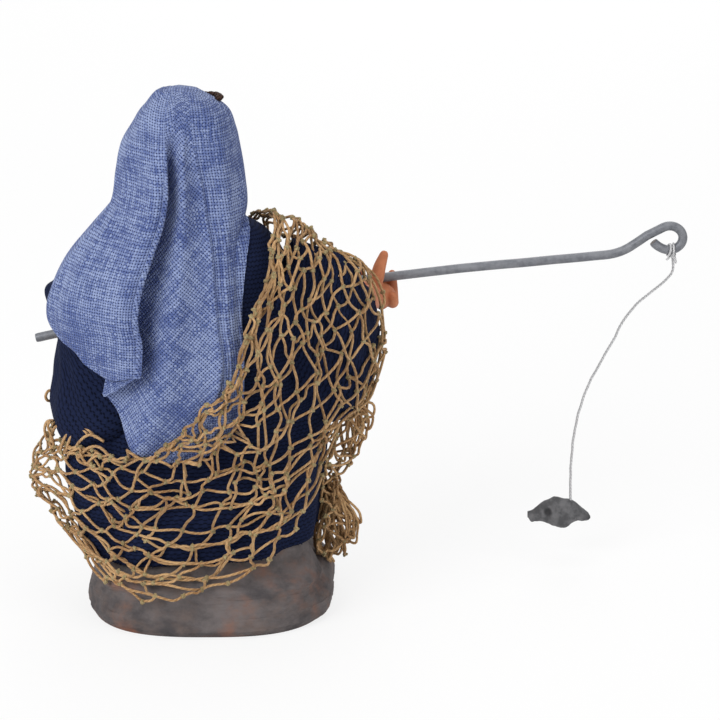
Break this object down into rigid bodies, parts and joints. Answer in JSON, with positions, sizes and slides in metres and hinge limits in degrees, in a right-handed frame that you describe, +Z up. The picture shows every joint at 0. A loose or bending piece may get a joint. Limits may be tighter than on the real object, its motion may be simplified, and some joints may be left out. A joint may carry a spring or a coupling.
{
  "type": "seated fisherman figurine",
  "caption": "Dressed clay crib figurine of a seated fisherman on a rock, with headcloth, twine net over the shoulder, and a wire rod with line and fish.",
  "frame": {"origin": "middle of the flat underside of the clay rock, on the surface it stands on", "axes": "+Z up, +X along the rod towards its tip, the figure faces +Y"},
  "size_m": [0.1925, 0.0745, 0.1534],
  "materials": {
    "terracotta": "matt painted clay",
    "rock_wash": "matt grey wash over terracotta",
    "grey_clay": "matt painted clay",
    "padding": "raw cotton",
    "navy_knit": "open weave",
    "blue_linen": "plain weave",
    "brown_cord": "twisted",
    "twine": "knotted twine",
    "galvanised_wire": "dull galvanised",
    "thread": "twisted thread"
  },
  "bodies": {
    "root": {"rock_base": "rock_wash", "body": "padding", "head": "terracotta", "left_hand": "terracotta", "right_hand": "terracotta", "left_foot": "terracotta", "right_foot": "terracotta", "robe": "navy_knit", "left_sleeve": "navy_knit", "right_sleeve": "navy_knit", "headcloth": "blue_linen", "headband": "brown_cord", "net": "twine", "rod": "galvanised_wire", "fishing_line": "thread", "fish": "grey_clay"}
  },
  "joints": []
}
